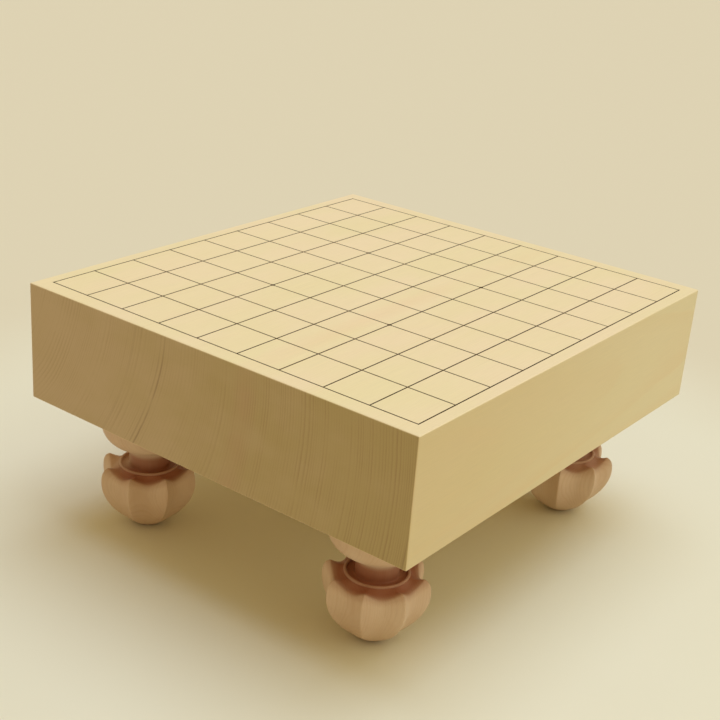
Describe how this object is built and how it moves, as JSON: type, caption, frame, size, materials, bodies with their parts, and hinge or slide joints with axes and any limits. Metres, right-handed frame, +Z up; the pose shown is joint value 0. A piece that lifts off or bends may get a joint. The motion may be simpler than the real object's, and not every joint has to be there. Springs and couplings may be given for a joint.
{
  "type": "legged shogi board",
  "caption": "Solid wooden shogi board with a lacquered playing grid, standing on pull-out turned and carved legs.",
  "frame": {"origin": "on the floor, under the middle of the board", "axes": "+Z up, +X along the players' edges to the right of the player at the -Y side, +Y from that player to the other"},
  "size_m": [0.333, 0.364, 0.1871],
  "materials": {
    "board_wood": "satin",
    "leg_wood": "satin",
    "lacquer": "satin"
  },
  "bodies": {
    "board": {"board": "board_wood", "lacquer_grid": "lacquer", "star_points": "lacquer"},
    "leg_front_left": {"leg_front_left": "leg_wood"},
    "leg_front_right": {"leg_front_right": "leg_wood"},
    "leg_back_left": {"leg_back_left": "leg_wood"},
    "leg_back_right": {"leg_back_right": "leg_wood"}
  },
  "joints": [
    {"name": "leg_front_left_pull", "type": "slide", "parent": "board", "child": "leg_front_left", "axis": [0, 0, -1], "range_m": [0, 0.03]},
    {"name": "leg_front_right_pull", "type": "slide", "parent": "board", "child": "leg_front_right", "axis": [0, 0, -1], "range_m": [0, 0.03]},
    {"name": "leg_back_left_pull", "type": "slide", "parent": "board", "child": "leg_back_left", "axis": [0, 0, -1], "range_m": [0, 0.03]},
    {"name": "leg_back_right_pull", "type": "slide", "parent": "board", "child": "leg_back_right", "axis": [0, 0, -1], "range_m": [0, 0.03]}
  ]
}
